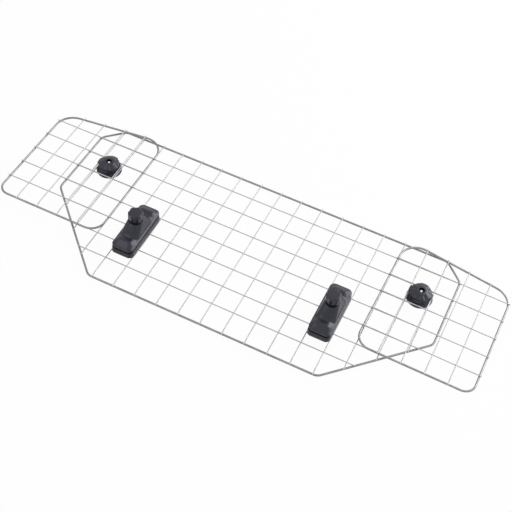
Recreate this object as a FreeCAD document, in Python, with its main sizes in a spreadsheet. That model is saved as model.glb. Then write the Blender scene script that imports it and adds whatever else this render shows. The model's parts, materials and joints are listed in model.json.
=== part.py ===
"""Car dog guard: a welded wire barrier with two sliding side wings, shown lying flat.

X runs along the length, Y along the height of the guard in use, and Z points to the side
where the knobs are. Z starts at the undersides of the clamps, on which the guard rests.
"""
import FreeCAD, Part
import math
import os
import re

import Sketcher

doc = FreeCAD.newDocument("CarDogGuard")
sheet = doc.addObject("Spreadsheet::Sheet", "Sizes")

# The driving dimensions, in millimetres, degrees and counts
SIZES = {
    # Wires and the play between stacked pieces
    "frame_wire": 4.5,
    "mesh_wire": 2.2,
    "weld_sink": 0.3,
    "mesh_pitch": 50,
    "play": 0.3,
    "end_stub": 1.2,
    "end_slope_run": 8,
    # Main panel, measured on the centre lines of its frame
    "main_length": 882.2,
    "main_height": 403,
    "main_top_chamfer": 42,
    "main_low_chamfer": 181.5,
    "main_bend": 20,
    "main_edge": 38,
    "main_rows": 7,
    "mesh_shift": 0.5,
    "mesh_lift": 4.1,
    # Wings, measured from their mesh centre; reach and drop place it from their clamp
    "wing_width": 250.5,
    "wing_below": 148.3,
    "wing_above": 142.5,
    "wing_slant": 7.6,
    "wing_columns": 4,
    "wing_rows": 5,
    "wing_low_outer_bend": 24,
    "wing_low_inner_bend": 32,
    "wing_top_bend": 42,
    "wing_reach": 49.5,
    "wing_drop": 30.8,
    "left_wing_turn": 0,
    "right_wing_turn": -0.9,
    # Wing clamps, in the outermost cells, so many rows above the middle of the main mesh
    "wing_clamp_rows": 1.5,
    "disc_radius": 28.5,
    "disc_foot_radius": 17,
    "disc_thickness": 8,
    "disc_rim": 2,
    "plate_radius": 26.5,
    "plate_thickness": 3,
    "tab_count": 4,
    "tab_width": 18,
    "knob_radius": 23.5,
    "knob_height": 8.6,
    "knob_skirt": 2,
    "knob_hub_radius": 10,
    "knob_hub_bore": 6.4,
    "flute_count": 8,
    "flute_width": 6,
    "flute_depth": 2.2,
    "flute_start": 11,
    "knob_end_recess": 3.6,
    # Bolts, nuts and washers
    "bolt_radius": 3,
    "bolt_hole_radius": 3.4,
    "bolt_fit": 0.05,
    "head_radius": 7,
    "head_height": 2.6,
    "head_recess_radius": 8,
    "head_recess": 3.2,
    "neck_width": 6,
    "neck_height": 3,
    "neck_fit": 0.3,
    "tip_chamfer": 0.7,
    "nut_flats": 10,
    "nut_height": 3.5,
    "washer_radius": 9,
    "washer_thickness": 0.8,
    # Headrest clamps: cells inwards from the wing clamps, and the fall below a wire
    "headrest_clamp_columns": 3,
    "left_headrest_clamp_fall": 16.5,
    "right_headrest_clamp_fall": 13,
    "back_width": 44,
    "back_length": 110,
    "back_corner": 9,
    "base_width": 52,
    "base_length": 132.5,
    "base_corner": 12,
    "base_height": 12,
    "base_draft": 1,
    "moulding_wall": 3,
    "moulding_floor": 3,
    "end_rib_count": 9,
    "end_rib_pitch": 3.6,
    "end_rib_gap": 1.8,
    "end_rib_depth": 0.8,
    "pad_inset": 3,
    "pad_thickness": 2.5,
    "pad_groove_width": 1.6,
    "pad_groove_depth": 0.8,
    "pad_groove_pitch": 6,
    "pad_groove_count": 9,
    "jaw_inset": 1.5,
    "jaw_edge": 4,
    "jaw_corner": 6,
    "jaw_corner_run": 4,
    "jaw_end_rise": 1.5,
    "crest_run": 17,
    "crest_inset": 10,
    "crest_height": 14.5,
    "dip_run": 14,
    "dip_height": 10.5,
    "jaw_height": 30.5,
    "saddle_width": 44,
    "saddle_length": 86,
    "saddle_share": 0.3,
    "waist_share": 0.65,
    "waist_width": 37,
    "waist_length": 52,
    "neck_radius": 16.3,
    "grip_radius": 16.3,
    "grip_height": 22.5,
    "grip_edge": 2,
    "grip_collar_height": 3,
    "grip_collar_radius": 13.5,
    "lobe_count": 6,
    "scallop_radius": 12,
    "scallop_offset": 26.6,
    "grip_roof": 2,
}
for row, (alias, size) in enumerate(SIZES.items(), 1):
    sheet.set(f"A{row}", alias.replace("_", " "))
    sheet.set(f"B{row}", str(size))
    sheet.setAlias(f"B{row}", alias)
doc.recompute()

FUNCTIONS = ("sqrt", "floor")
LEFT, RIGHT = -1, 1
SIDES = {"left": LEFT, "right": RIGHT}


def spelled(formula):
    """The formula with each size's full name in the sheet."""

    def full_name(word):
        return word[0] if word[0] in FUNCTIONS else "Sizes." + word[0]

    return re.sub(r"[a-z_]+", full_name, str(formula))


def value(formula):
    """The number that a formula of the sheet's sizes gives."""
    return float(sheet.evalExpression(spelled(formula)))


def bind(piece, **formulas):
    """Bind properties to the sheet; two underscores stand for a dot in a property's path."""
    for path, formula in formulas.items():
        piece.setExpression(path.replace("__", "."), spelled(formula))


def place(piece, x="0", y="0", z="0", turn=None):
    """Bind a piece's place, and its turn about Z if it has one."""
    if turn is not None:
        about_z = FreeCAD.Rotation(FreeCAD.Vector(0, 0, 1), value(turn))
        piece.Placement = FreeCAD.Placement(FreeCAD.Vector(), about_z)
        bind(piece, Placement__Rotation__Angle=turn)
    bind(piece, Placement__Base__x=x, Placement__Base__y=y, Placement__Base__z=z)
    return piece


# The heights of the layers, from the floor up; a panel's frame lies under its long wires
ABOVE_FRAME = "(frame_wire / 2 + mesh_wire / 2 - weld_sink)"
ABOVE_LONG_WIRE = "(mesh_wire - weld_sink)"
FRAME_TO_TOP = f"({ABOVE_FRAME} + {ABOVE_LONG_WIRE} + mesh_wire / 2)"
FRAME_Z = f"(disc_thickness + play + mesh_wire / 2 - {ABOVE_FRAME})"
MESH_TOP = f"({FRAME_Z} + {FRAME_TO_TOP})"
WING_Z = f"({MESH_TOP} + play + frame_wire / 2)"
WING_MESH_TOP = f"({WING_Z} + {FRAME_TO_TOP})"
PLATE_Z = f"({WING_MESH_TOP} + play)"
WING_WASHER_Z = f"({PLATE_Z} + plate_thickness + play)"
WING_KNOB_Z = f"({PLATE_Z} + plate_thickness + play)"
WING_NUT_Z = f"({WING_WASHER_Z} + washer_thickness + play)"
WING_BOLT_TOP = f"({WING_KNOB_Z} + knob_height - knob_end_recess)"
BASE_Z = f"({MESH_TOP} + play)"
LOWER_PAD_Z = f"({BASE_Z} + base_height)"
UPPER_PAD_Z = f"({LOWER_PAD_Z} + pad_thickness + play)"
JAW_Z = f"({UPPER_PAD_Z} + pad_thickness)"
GRIP_WASHER_Z = f"({JAW_Z} + jaw_height + play)"
GRIP_Z = f"({GRIP_WASHER_Z} + washer_thickness + play)"
GRIP_BOLT_TOP = f"({GRIP_Z} + grip_height - grip_roof - play)"


# Wires: each a round bar along a path of straight runs and bends
def rounded_loop(corners):
    """A closed path in XY through corners (x, y, bend radius), with an arc at each."""
    points = [FreeCAD.Vector(x, y, 0) for x, y, _ in corners]
    bends = []
    for n, (_, _, radius) in enumerate(corners):
        here, last, following = points[n], points[n - 1], points[(n + 1) % len(points)]
        back, ahead = (last - here).normalize(), (following - here).normalize()
        half = back.getAngle(ahead) / 2
        centre = here + (back + ahead).normalize() * (radius / math.sin(half))
        start = here + back * (radius / math.tan(half))
        end = here + ahead * (radius / math.tan(half))
        middle = centre + (here - centre).normalize() * radius
        bends.append((start, middle, end))
    middle_of_first = (bends[-1][2] + bends[0][0]) / 2
    edges, at = [], middle_of_first
    for start, middle, end in bends:
        edges.append(Part.LineSegment(at, start).toShape())
        edges.append(Part.Arc(start, middle, end).toShape())
        at = end
    edges.append(Part.LineSegment(at, middle_of_first).toShape())
    return Part.Wire(edges)


def round_bar(path, diameter):
    """A bar of round section along a path, mitred at its sharp turns."""
    first = path.OrderedEdges[0]
    start = first.valueAt(first.FirstParameter)
    along = first.tangentAt(first.FirstParameter)
    section = Part.Wire(Part.makeCircle(diameter / 2, start, along))
    mitred = 1
    return path.makePipeShell([section], True, False, mitred)


def bent_frame(label, corners, **pose):
    """A frame: one thick wire, bent to a closed loop."""
    frame = doc.addObject("Part::Feature", label)
    frame.Shape = round_bar(rounded_loop(corners), value("frame_wire"))
    return place(frame, **pose)


def long_wires(label, runs, **pose):
    """The straight wires along X; runs gives each one's start, its length and its Y."""
    wires = []
    for start, length, y in runs:
        wire = doc.addObject("Part::Cylinder", f"{label}_{len(wires) + 1}")
        along_x = FreeCAD.Rotation(FreeCAD.Vector(0, 1, 0), 90)
        wire.Placement = FreeCAD.Placement(FreeCAD.Vector(), along_x)
        bind(wire, Radius="mesh_wire / 2", Height=length)
        wires.append(place(wire, start, y, ABOVE_FRAME))
    group = doc.addObject("Part::Compound", label)
    group.Links = wires
    return place(group, **pose)


def cross_wires(label, spans, **pose):
    """The wires along Y, one (x, low, high) each: over the long wires, then down to the frame."""
    down, up = value(ABOVE_FRAME), value(f"{ABOVE_FRAME} + {ABOVE_LONG_WIRE}")
    seat = value("frame_wire / 2 + end_stub")
    run = value("end_slope_run")
    bars = []
    for x, low, high in spans:
        profile = (
            (low - seat, down),
            (low + seat, down),
            (low + seat + run, up),
            (high - seat - run, up),
            (high - seat, down),
            (high + seat, down),
        )
        path = Part.makePolygon([FreeCAD.Vector(x, y, z) for y, z in profile])
        bars.append(round_bar(path, value("mesh_wire")))
    group = doc.addObject("Part::Feature", label)
    group.Shape = Part.makeCompound(bars)
    return place(group, **pose)


def spread(count, pitch="mesh_pitch"):
    """Formulas of the places of count wires at even pitch about zero."""
    number = int(value(count))
    return [f"({n} - ({count} - 1) / 2) * {pitch}" for n in range(number)]


# Main panel; it has as many cross wires as fit between its edges
MAIN_COLUMNS = "(floor((main_length - 2 * main_edge) / mesh_pitch) + 1)"


def main_corners():
    """The frame's eight corners, from the middle of the lower edge round to the left."""
    half, rise = value("main_length / 2"), value("main_height / 2")
    top, low, bend = value("main_top_chamfer"), value("main_low_chamfer"), value("main_bend")
    right = [(half - low, -rise), (half, low - rise), (half, rise - top), (half - top, rise)]
    left = [(-x, y) for x, y in reversed(right)]
    return [(x, y, bend) for x, y in right + left]


def main_long_runs():
    """Long wires run from side to side, and to the slanted edges below."""
    runs = []
    for place_y in spread("main_rows"):
        y = f"({place_y} + mesh_lift)"
        cut = f"(main_low_chamfer - main_height / 2 - {y})"
        half = "(main_length / 2 + frame_wire / 2 + end_stub)"
        if value(cut) > 0:
            half = f"({half} - {cut})"
        runs.append((f"-{half}", f"2 * {half}", y))
    return runs


def main_cross_spans():
    """Cross wires run from the lower edge to the upper one, shorter at the cut corners."""
    spans = []
    for place_x in spread(MAIN_COLUMNS):
        x = value(f"{place_x} + mesh_shift")
        beyond_low = abs(x) - value("main_length / 2 - main_low_chamfer")
        beyond_top = abs(x) - value("main_length / 2 - main_top_chamfer")
        rise = value("main_height / 2")
        spans.append((x, max(beyond_low, 0) - rise, rise - max(beyond_top, 0)))
    return spans


bent_frame("main_frame", main_corners(), z=FRAME_Z)
long_wires("main_long_wires", main_long_runs(), z=FRAME_Z)
cross_wires("main_cross_wires", main_cross_spans(), z=FRAME_Z)


# Wings, drawn about the axis of their clamp, with side -1 or 1 as the outward way along X
WING_CLAMP_COLUMNS = f"({MAIN_COLUMNS} / 2 - 1)"


def wing_clamp_at(side):
    """Formulas of the place of a wing clamp's axis, in the outermost cell of the main mesh."""
    x = f"mesh_shift + {side} * {WING_CLAMP_COLUMNS} * mesh_pitch"
    y = "mesh_lift + wing_clamp_rows * mesh_pitch"
    return x, y


def wing_corners(side):
    inner, outer = value("wing_reach - wing_width / 2"), value("wing_reach + wing_width / 2")
    low = value("-wing_drop - wing_below")
    middle_top = value("-wing_drop + wing_above")
    fall = value("wing_width / 2") * math.tan(math.radians(value("wing_slant")))
    corners = [
        (side * outer, low, value("wing_low_outer_bend")),
        (side * outer, middle_top - fall, value("wing_top_bend")),
        (side * inner, middle_top + fall, value("wing_top_bend")),
        (side * inner, low, value("wing_low_inner_bend")),
    ]
    return corners if side == RIGHT else corners[::-1]


def wing_long_runs(side):
    half = "(wing_width / 2 + frame_wire / 2 + end_stub)"
    start = f"({side} * wing_reach - {half})"
    return [(start, f"2 * {half}", f"{y} - wing_drop") for y in spread("wing_rows")]


def wing_cross_spans(side):
    slope = math.tan(math.radians(value("wing_slant")))
    low = value("-wing_drop - wing_below")
    spans = []
    for place_x in spread("wing_columns"):
        out = value(place_x)
        high = value("-wing_drop + wing_above") - out * slope
        spans.append((side * (value("wing_reach") + out), low, high))
    return spans


for name, side in SIDES.items():
    clamp_x, clamp_y = wing_clamp_at(side)
    pose = {"x": clamp_x, "y": clamp_y, "z": WING_Z, "turn": f"{name}_wing_turn"}
    bent_frame(f"{name}_wing_frame", wing_corners(side), **pose)
    long_wires(f"{name}_wing_long_wires", wing_long_runs(side), **pose)
    cross_wires(f"{name}_wing_cross_wires", wing_cross_spans(side), **pose)


# Sketches and features of the moulded and turned pieces
def new_body(label):
    return doc.addObject("PartDesign::Body", label)


def new_sketch(body, plane="XY_Plane", height="0"):
    sketch = body.newObject("Sketcher::SketchObject", f"{body.Name}_sketch")
    support = next(item for item in body.Origin.OriginFeatures if item.Role == plane)
    sketch.AttachmentSupport = [(support, "")]
    sketch.MapMode = "FlatFace"
    if height != "0":
        bind(sketch, AttachmentOffset__Base__z=height)
    return sketch


def fix(sketch, way, geometry, point, formula):
    """Hold a point's distance from the origin along X or Y to a formula."""
    size = value(formula)
    axis = {"DistanceX": -2, "DistanceY": -1}[way]
    if size == 0:
        sketch.addConstraint(Sketcher.Constraint("PointOnObject", geometry, point, axis))
        return
    ends = (-1, 1, geometry, point) if size > 0 else (geometry, point, -1, 1)
    number = sketch.addConstraint(Sketcher.Constraint(way, *ends, abs(size)))
    sketch.setExpression(f"Constraints[{number}]", spelled(formula if size > 0 else f"-({formula})"))


def draw_outline(sketch, points):
    """A closed outline of straight lines, with each corner bound to its two formulas."""
    corners = [FreeCAD.Vector(value(x), value(y), 0) for x, y in points]
    count = len(corners)
    for n in range(count):
        sketch.addGeometry(Part.LineSegment(corners[n], corners[(n + 1) % count]))
    for n, (x, y) in enumerate(points):
        sketch.addConstraint(Sketcher.Constraint("Coincident", n, 2, (n + 1) % count, 1))
        fix(sketch, "DistanceX", n, 1, x)
        fix(sketch, "DistanceY", n, 1, y)
    return sketch


def draw_circle(sketch, radius, x="0", y="0"):
    """A circle bound to formulas of its radius and centre."""
    centre = FreeCAD.Vector(value(x), value(y), 0)
    circle = sketch.addGeometry(Part.Circle(centre, FreeCAD.Vector(0, 0, 1), value(radius)))
    fix(sketch, "DistanceX", circle, 3, x)
    fix(sketch, "DistanceY", circle, 3, y)
    number = sketch.addConstraint(Sketcher.Constraint("Radius", circle, value(radius)))
    sketch.setExpression(f"Constraints[{number}]", spelled(radius))
    return sketch


def draw_block(sketch, width, length, corner):
    """A rectangle about the origin with round corners: four sides joined by tangent arcs."""
    bend = value(corner)
    x, y = value(f"({width}) / 2") - bend, value(f"({length}) / 2") - bend
    for n, turn in enumerate(((x, y), (-x, y), (-x, -y), (x, -y))):
        centre = FreeCAD.Vector(*turn, 0)
        circle = Part.Circle(centre, FreeCAD.Vector(0, 0, 1), bend)
        sketch.addGeometry(Part.ArcOfCircle(circle, n * math.pi / 2, (n + 1) * math.pi / 2))
    for n in range(4):
        start, end = sketch.Geometry[n].EndPoint, sketch.Geometry[(n + 1) % 4].StartPoint
        sketch.addGeometry(Part.LineSegment(start, end))
    for n in range(4):
        side = 4 + n
        sketch.addConstraint(Sketcher.Constraint("Tangent", n, 2, side, 1))
        sketch.addConstraint(Sketcher.Constraint("Tangent", side, 2, (n + 1) % 4, 1))
        sketch.addConstraint(Sketcher.Constraint("Horizontal" if n % 2 == 0 else "Vertical", side))
    for n in range(3):
        sketch.addConstraint(Sketcher.Constraint("Equal", n, n + 1))
    number = sketch.addConstraint(Sketcher.Constraint("Radius", 0, bend))
    sketch.setExpression(f"Constraints[{number}]", spelled(corner))
    fix(sketch, "DistanceY", 4, 1, f"({length}) / 2")
    fix(sketch, "DistanceX", 5, 1, f"-({width}) / 2")
    fix(sketch, "DistanceY", 6, 1, f"-({length}) / 2")
    fix(sketch, "DistanceX", 7, 1, f"({width}) / 2")
    return sketch


def hexagon(flats):
    """The corners of a hexagon that measures flats across its flats."""
    half, corner, tip = f"{flats} / 2", f"{flats} / 2 / sqrt(3)", f"{flats} / sqrt(3)"
    right = [(half, f"-{corner}"), (half, corner)]
    left = [(f"-{half}", corner), (f"-{half}", f"-{corner}")]
    return right + [("0", tip)] + left + [("0", f"-{tip}")]


def rectangle(half_width, low, high):
    """The corners of a rectangle, centred along X."""
    return [(half_width, low), (half_width, high), (f"-{half_width}", high), (f"-{half_width}", low)]


def square(width):
    return rectangle(f"{width} / 2", f"-{width} / 2", f"{width} / 2")


def pad(body, sketch, length):
    feature = body.newObject("PartDesign::Pad", f"{body.Name}_pad")
    feature.Profile = (sketch, [""])
    bind(feature, Length=length)
    return feature


def cut_up(body, sketch, depth=None):
    """A pocket from the sketch upwards, right through if no depth is given."""
    feature = body.newObject("PartDesign::Pocket", f"{body.Name}_cut")
    feature.Profile = (sketch, [""])
    feature.Reversed = True
    if depth is None:
        feature.Type = "ThroughAll"
    else:
        bind(feature, Length=depth)
    return feature


def cut_down(body, sketch, depth):
    """A pocket from the sketch downwards."""
    feature = body.newObject("PartDesign::Pocket", f"{body.Name}_cut")
    feature.Profile = (sketch, [""])
    bind(feature, Length=depth)
    return feature


def turn_profile(body, points):
    """A solid turned about Z from an outline of radii and heights."""
    sketch = draw_outline(new_sketch(body, "XZ_Plane"), points)
    feature = body.newObject("PartDesign::Revolution", f"{body.Name}_turned")
    feature.Profile = (sketch, [""])
    feature.ReferenceAxis = (sketch, ["V_Axis"])
    feature.Angle = 360
    return feature


def loft(body, sections, ruled):
    feature = body.newObject("PartDesign::AdditiveLoft", f"{body.Name}_loft")
    feature.Profile = (sections[0], [""])
    feature.Sections = sections[1:]
    feature.Ruled = ruled
    return feature


def ring_of(body, feature, count):
    """Repeat a feature evenly about Z."""
    pattern = body.newObject("PartDesign::PolarPattern", f"{body.Name}_ring")
    pattern.Originals = [feature]
    axis = next(item for item in body.Origin.OriginFeatures if item.Role == "Z_Axis")
    pattern.Axis = (axis, [""])
    pattern.Angle = 360
    bind(pattern, Occurrences=count)
    body.Tip = pattern
    return pattern


def row_of(body, feature, axis_role, length, count):
    """Repeat a feature evenly along an axis of the body."""
    pattern = body.newObject("PartDesign::LinearPattern", f"{body.Name}_row")
    pattern.Originals = [feature]
    axis = next(item for item in body.Origin.OriginFeatures if item.Role == axis_role)
    pattern.Direction = (axis, [""])
    bind(pattern, Length=length, Occurrences=count)
    body.Tip = pattern
    return pattern


# Fasteners, shared by the two kinds of clamp
def carriage_bolt(label, length, **pose):
    """A round-headed bolt with a square neck and a plain shank, head down."""
    body = new_body(label)
    turn_profile(
        body,
        [
            ("0", "0"),
            ("head_radius / 2", "0"),
            ("head_radius", "head_height / 2"),
            ("head_radius", "head_height"),
            ("bolt_radius", "head_height"),
            ("bolt_radius", f"{length} - tip_chamfer"),
            ("bolt_radius - tip_chamfer", length),
            ("0", length),
        ],
    )
    neck = draw_outline(new_sketch(body, height="head_height / 2"), square("neck_width"))
    pad(body, neck, "neck_height + head_height / 2")
    return place(body, **pose)


def flat_washer(label, **pose):
    body = new_body(label)
    sketch = new_sketch(body)
    draw_circle(sketch, "washer_radius")
    draw_circle(sketch, "bolt_hole_radius")
    pad(body, sketch, "washer_thickness")
    return place(body, **pose)


def hexagon_nut(label, **pose):
    body = new_body(label)
    sketch = draw_outline(new_sketch(body), hexagon("nut_flats"))
    draw_circle(sketch, "bolt_radius + bolt_fit")
    pad(body, sketch, "nut_height")
    return place(body, **pose)


# Wing clamp: a disc under the main mesh, a tabbed plate on the wing and a fluted knob
def clamp_disc(label, **pose):
    """A dished disc: a flat foot below, which widens to a thin rim."""
    body = new_body(label)
    turn_profile(
        body,
        [
            ("head_recess_radius", "0"),
            ("disc_foot_radius", "0"),
            ("disc_radius", "disc_thickness - disc_rim"),
            ("disc_radius", "disc_thickness"),
            ("0", "disc_thickness"),
            ("0", "head_recess"),
            ("head_recess_radius", "head_recess"),
        ],
    )
    cut_up(body, draw_outline(new_sketch(body), square("(neck_width + neck_fit)")))
    return place(body, **pose)


def clamp_plate(label, **pose):
    """A disc cut back between four tabs, which bear on the wires of the cell."""
    body = new_body(label)
    pad(body, draw_circle(new_sketch(body), "plate_radius"), "plate_thickness")
    near, far = "tab_width / 2", "plate_radius"
    between_tabs = [(near, near), (far, near), (far, far), (near, far)]
    ring_of(body, cut_up(body, draw_outline(new_sketch(body), between_tabs)), "tab_count")
    cut_up(body, draw_circle(new_sketch(body), "bolt_hole_radius"))
    return place(body, **pose)


def fluted_knob(label, **pose):
    """A low cone with radial flutes, a hub bored from above and a nut seat below."""
    body = new_body(label)
    seat = "(washer_thickness + play)"
    turn_profile(
        body,
        [
            ("washer_radius + play", "0"),
            ("knob_radius", "0"),
            ("knob_radius", "knob_skirt"),
            ("knob_hub_radius", "knob_height"),
            ("knob_hub_bore", "knob_height"),
            ("knob_hub_bore", f"{seat} + nut_height"),
            ("bolt_hole_radius", f"{seat} + nut_height"),
            ("bolt_hole_radius", seat),
            ("washer_radius + play", seat),
        ],
    )
    slope = "(knob_height - knob_skirt) / (knob_radius - knob_hub_radius)"
    start_height = f"(knob_height - (flute_start - knob_hub_radius) * {slope})"
    end_height = "(knob_skirt - flute_depth / 2)"
    flute = [
        ("flute_start", start_height),
        ("knob_radius + play", end_height),
        ("knob_radius + play", "knob_height"),
        ("flute_start", "knob_height"),
    ]
    sketch = draw_outline(new_sketch(body, "XZ_Plane", "-flute_width / 2"), flute)
    groove = body.newObject("PartDesign::Pocket", f"{body.Name}_flute")
    groove.Profile = (sketch, [""])
    groove.Reversed = True
    bind(groove, Length="flute_width")
    ring_of(body, groove, "flute_count")
    nut_seat = draw_outline(new_sketch(body), hexagon("(nut_flats + 2 * bolt_fit)"))
    cut_up(body, nut_seat, f"{seat} + nut_height")
    return place(body, **pose)


for name, side in SIDES.items():
    clamp_x, clamp_y = wing_clamp_at(side)
    spot = {"x": clamp_x, "y": clamp_y}
    head_z = "(head_recess - head_height)"
    clamp_disc(f"{name}_wing_clamp_disc", **spot)
    carriage_bolt(f"{name}_wing_clamp_bolt", f"({WING_BOLT_TOP} - {head_z})", z=head_z, **spot)
    clamp_plate(f"{name}_wing_clamp_plate", z=PLATE_Z, turn=f"{name}_wing_turn", **spot)
    flat_washer(f"{name}_wing_clamp_washer", z=WING_WASHER_Z, **spot)
    hexagon_nut(f"{name}_wing_knob_nut", z=WING_NUT_Z, **spot)
    fluted_knob(f"{name}_wing_knob", z=WING_KNOB_Z, **spot)


# Headrest clamp: a back plate under the mesh, and a base and a jaw that grip the headrest posts
def back_plate(label, **pose):
    body = new_body(label)
    pad(body, draw_block(new_sketch(body), "back_width", "back_length", "back_corner"), "disc_thickness")
    cut_up(body, draw_circle(new_sketch(body), "head_recess_radius"), "head_recess")
    cut_up(body, draw_outline(new_sketch(body), square("(neck_width + neck_fit)")))
    hollow_out(body, "back_width", "back_length", "disc_thickness")
    return place(body, **pose)


def hollow_out(body, width, length, height):
    """Two pockets in a moulding's underside, which leave its walls and the boss round the bolt."""
    side = f"({width} / 2 - moulding_wall)"
    near = "(head_recess_radius + moulding_wall)"
    far = f"({length} / 2 - moulding_wall)"
    for sign in ("", "-"):
        pocket = rectangle(side, f"{sign}{near}", f"{sign}{far}")
        cut_up(body, draw_outline(new_sketch(body), pocket), f"{height} - moulding_floor")


def base_plate(label, **pose):
    """The lower jaw: a tapered block, hollow below, with ribs across its ends."""
    body = new_body(label)
    wide, long = "base_width", "base_length"
    low = draw_block(new_sketch(body), wide, long, "base_corner")
    taper = "2 * base_draft"
    corner = "base_corner - base_draft"
    top = new_sketch(body, height="base_height")
    high = draw_block(top, f"{wide} - {taper}", f"{long} - {taper}", corner)
    loft(body, [low, high], True)
    cut_up(body, draw_circle(new_sketch(body), "bolt_hole_radius"))
    hollow_out(body, "(base_width - 2 * base_corner)", "(base_length - 2 * base_corner)", "base_height")
    for sign in ("", "-"):
        start = "-(end_rib_count - 1) / 2 * end_rib_pitch"
        half = "end_rib_gap / 2"
        deep = f"{sign}(base_length / 2 - base_draft - end_rib_depth)"
        out = f"{sign}(base_length / 2)"
        notch = [(f"{start} - {half}", out), (start, deep), (f"{start} + {half}", out)]
        groove = cut_up(body, draw_outline(new_sketch(body), notch))
        row_of(body, groove, "X_Axis", "(end_rib_count - 1) * end_rib_pitch", "end_rib_count")
    return place(body, **pose)


def grip_pad(label, grooves_up, **pose):
    """A rubber pad with grooves across the face that meets the headrest posts."""
    body = new_body(label)
    width, length = "base_width - 2 * pad_inset", "base_length - 2 * pad_inset"
    pad(body, draw_block(new_sketch(body), width, length, "base_corner - pad_inset"), "pad_thickness")
    cut_up(body, draw_circle(new_sketch(body), "bolt_hole_radius"))
    near, far = "head_recess_radius", "(head_recess_radius + pad_groove_width)"
    for sign in ("", "-"):
        slot = rectangle("base_width / 2", f"{sign}{near}", f"{sign}{far}")
        if grooves_up:
            face = new_sketch(body, height="pad_thickness")
            groove = cut_down(body, draw_outline(face, slot), "pad_groove_depth")
        else:
            groove = cut_up(body, draw_outline(new_sketch(body), slot), "pad_groove_depth")
        length = "(pad_groove_count - 1) * pad_groove_pitch"
        row = row_of(body, groove, "Y_Axis", length, "pad_groove_count")
        row.Reversed = sign == "-"
    return place(body, **pose)


def jaw_section(body, along, half_width, top_half_width, top):
    """A section across the jaw, at a distance along it: a lip with a sloping flank above."""
    right = [(half_width, "0"), (half_width, "jaw_edge"), (top_half_width, top)]
    left = [(f"-{x}", z) for x, z in reversed(right)]
    return draw_outline(new_sketch(body, "XZ_Plane", along), right + left)


def jaw(label, **pose):
    """The upper jaw: sloping ends and flanks, a crest near each end and a saddle to the neck."""
    body = new_body(label)
    half, end = "(base_width / 2 - jaw_inset)", "(base_length / 2 - jaw_inset)"
    cut, crest = f"({half} - jaw_corner)", f"({half} - crest_inset)"
    stations = [
        (end, cut, f"({cut} - jaw_end_rise)", "(jaw_edge + jaw_end_rise)"),
        (f"({end} - jaw_corner_run)", half, f"({cut} - jaw_end_rise)", "(jaw_edge + 2 * jaw_end_rise)"),
        (f"({end} - crest_run)", half, crest, "crest_height"),
        (f"({end} - crest_run - dip_run)", half, crest, "dip_height"),
    ]
    mirrored = [(f"-{station[0]}", *station[1:]) for station in reversed(stations)]
    loft(body, [jaw_section(body, *station) for station in stations + mirrored], True)
    climb = "(jaw_height - jaw_edge)"
    half_way = ("(saddle_width + waist_width) / 2", "(saddle_length + waist_length) / 2")
    rise = [
        ("jaw_edge", "saddle_width", "saddle_length"),
        (f"jaw_edge + {climb} * saddle_share", *half_way),
        (f"jaw_edge + {climb} * waist_share", "waist_width", "waist_length"),
        ("jaw_height", "2 * neck_radius + play", "2 * neck_radius + play"),
    ]
    bell = [draw_block(new_sketch(body, height=z), wide, long, "neck_radius") for z, wide, long in rise]
    loft(body, bell, False)
    cut_up(body, draw_circle(new_sketch(body), "bolt_hole_radius"))
    return place(body, **pose)


def lobed_grip(label, **pose):
    """The tall knob: a collar below, six lobes, and a blind bore with the nut at its mouth."""
    body = new_body(label)
    turn_profile(
        body,
        [
            ("0", "0"),
            ("grip_collar_radius", "0"),
            ("grip_collar_radius", "grip_collar_height"),
            ("grip_radius", "grip_collar_height + grip_edge"),
            ("grip_radius", "grip_height - grip_edge"),
            ("grip_radius - grip_edge", "grip_height"),
            ("0", "grip_height"),
        ],
    )
    scallop = draw_circle(new_sketch(body), "scallop_radius", x="scallop_offset")
    ring_of(body, cut_up(body, scallop), "lobe_count")
    nut_seat = draw_outline(new_sketch(body), hexagon("(nut_flats + 2 * bolt_fit)"))
    cut_up(body, nut_seat, "nut_height")
    cut_up(body, draw_circle(new_sketch(body), "bolt_hole_radius"), "grip_height - grip_roof")
    return place(body, **pose)


for name, side in SIDES.items():
    spot = {
        "x": f"mesh_shift + {side} * ({WING_CLAMP_COLUMNS} - headrest_clamp_columns) * mesh_pitch",
        "y": f"mesh_lift - mesh_pitch - {name}_headrest_clamp_fall",
    }
    head_z = "(head_recess - head_height)"
    back_plate(f"{name}_headrest_back_plate", **spot)
    carriage_bolt(f"{name}_headrest_bolt", f"({GRIP_BOLT_TOP} - {head_z})", z=head_z, **spot)
    base_plate(f"{name}_headrest_base_plate", z=BASE_Z, **spot)
    grip_pad(f"{name}_headrest_lower_pad", True, z=LOWER_PAD_Z, **spot)
    grip_pad(f"{name}_headrest_upper_pad", False, z=UPPER_PAD_Z, **spot)
    jaw(f"{name}_headrest_jaw", z=JAW_Z, **spot)
    flat_washer(f"{name}_headrest_washer", z=GRIP_WASHER_Z, **spot)
    hexagon_nut(f"{name}_headrest_knob_nut", z=GRIP_Z, **spot)
    lobed_grip(f"{name}_headrest_knob", z=GRIP_Z, **spot)

doc.recompute()


# Check every object, centre the footprint on the origin and write one file for each piece
def is_piece(item):
    return item.Label.startswith(("main", "left", "right")) and item.TypeId in (
        "PartDesign::Body",
        "Part::Compound",
        "Part::Feature",
    )


failed = [item.Label for item in doc.Objects if "Invalid" in item.State or "Error" in item.State]
pieces = [item for item in doc.Objects if is_piece(item)]
failed += [piece.Label for piece in pieces if piece.Shape.isNull() or not piece.Shape.isValid()]
if failed:
    raise RuntimeError("failed: " + ", ".join(failed))

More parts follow.
